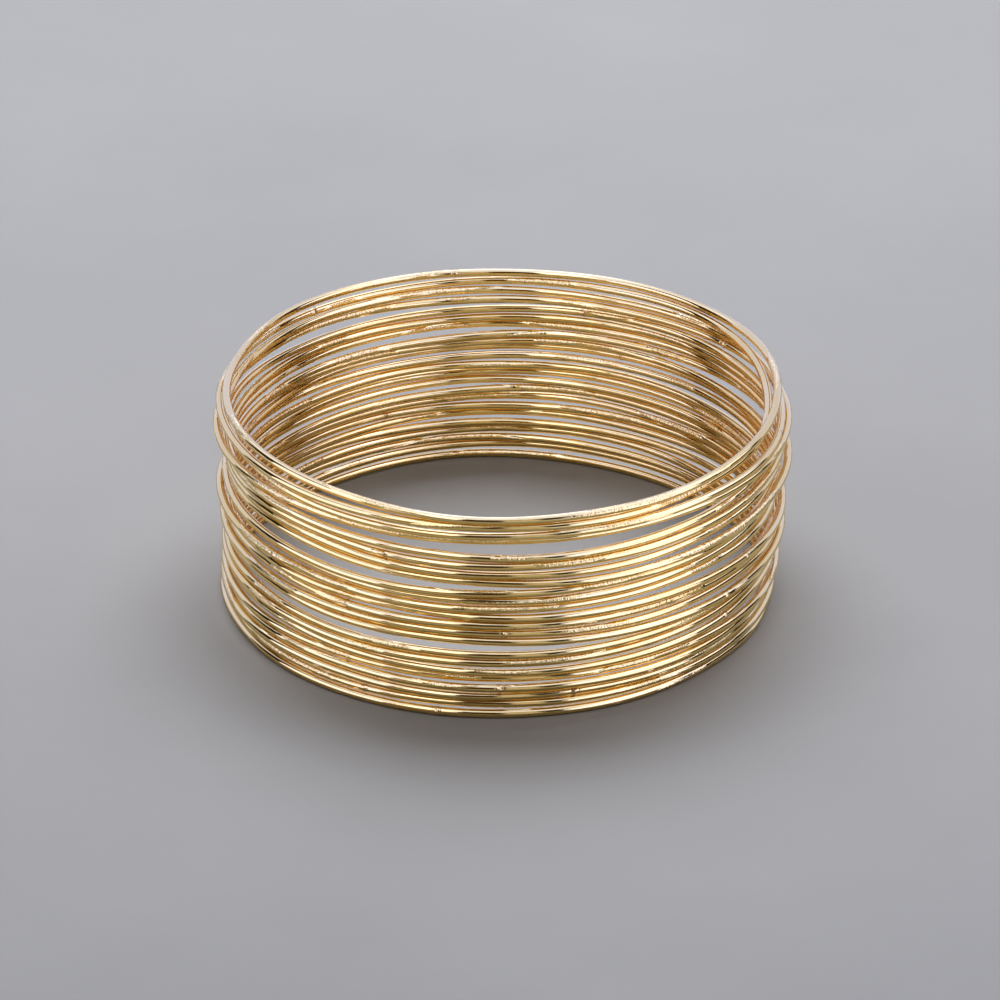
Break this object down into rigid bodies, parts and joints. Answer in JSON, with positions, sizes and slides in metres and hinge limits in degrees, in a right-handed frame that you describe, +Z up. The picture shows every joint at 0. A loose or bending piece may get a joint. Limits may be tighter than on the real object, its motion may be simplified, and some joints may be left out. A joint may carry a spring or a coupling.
{
  "type": "stacked wire bangle",
  "caption": "Stacked bangle of thin, round, polished gold coloured wire hoops, each closed by a small butt weld and lying loose on the hoops below it.",
  "frame": {"origin": "under the middle of the stack, on the surface that it rests on", "axes": "+Z up through the hollow for the wrist, -Y to the front, +X to the right"},
  "size_m": [0.07, 0.0694, 0.0276],
  "materials": {
    "gold_wire": "polished"
  },
  "bodies": {
    "root": {"hoop_01": "gold_wire", "hoop_02": "gold_wire", "hoop_03": "gold_wire", "hoop_04": "gold_wire", "hoop_05": "gold_wire", "hoop_06": "gold_wire", "hoop_07": "gold_wire", "hoop_08": "gold_wire", "hoop_09": "gold_wire", "hoop_10": "gold_wire", "hoop_11": "gold_wire", "hoop_12": "gold_wire", "hoop_13": "gold_wire", "hoop_14": "gold_wire", "hoop_15": "gold_wire", "hoop_16": "gold_wire", "hoop_17": "gold_wire", "hoop_18": "gold_wire", "hoop_19": "gold_wire", "hoop_20": "gold_wire", "hoop_21": "gold_wire", "hoop_22": "gold_wire", "hoop_23": "gold_wire"}
  },
  "joints": []
}
